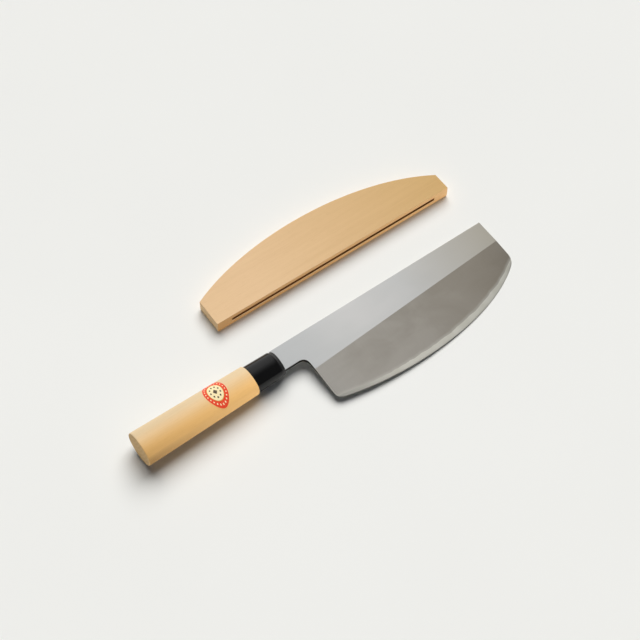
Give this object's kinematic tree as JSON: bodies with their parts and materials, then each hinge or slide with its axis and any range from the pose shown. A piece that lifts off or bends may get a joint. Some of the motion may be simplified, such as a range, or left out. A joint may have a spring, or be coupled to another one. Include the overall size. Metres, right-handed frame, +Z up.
{
  "type": "sushi knife with edge sheath",
  "caption": "Broad single-bevel sushi-roll knife with a curved edge, square tip and wooden grip, lying beside the wooden sheath for its edge.",
  "frame": {"origin": "on the table under the middle of the box round the knife and its sheath", "axes": "+X along the knife from butt to tip, +Y from the edge to the spine and on to the sheath, +Z up from the table"},
  "size_m": [0.3722, 0.177, 0.0297],
  "materials": {
    "soft_iron": "satin ground, bevel stoned to a darker haze",
    "hard_steel": "honed",
    "black_resin": "matt",
    "black_ferrule": "polished",
    "grip_wood": "sanded, unvarnished",
    "label_paper": "printed, matt",
    "sheath_wood": "sanded, unvarnished"
  },
  "bodies": {
    "knife": {"blade_cladding": "soft_iron", "edge_steel": "hard_steel", "neck_seal": "black_resin", "ferrule": "black_ferrule", "handle_grip": "grip_wood", "handle_label": "label_paper"},
    "sheath": {"sheath_lower_leaf": "sheath_wood", "sheath_spacer": "sheath_wood", "sheath_upper_leaf": "sheath_wood"}
  },
  "joints": [
    {"name": "sheath_lift", "type": "slide", "parent": "knife", "child": "sheath", "axis": [0, 0, 1], "range_m": [0, 0.15]}
  ]
}
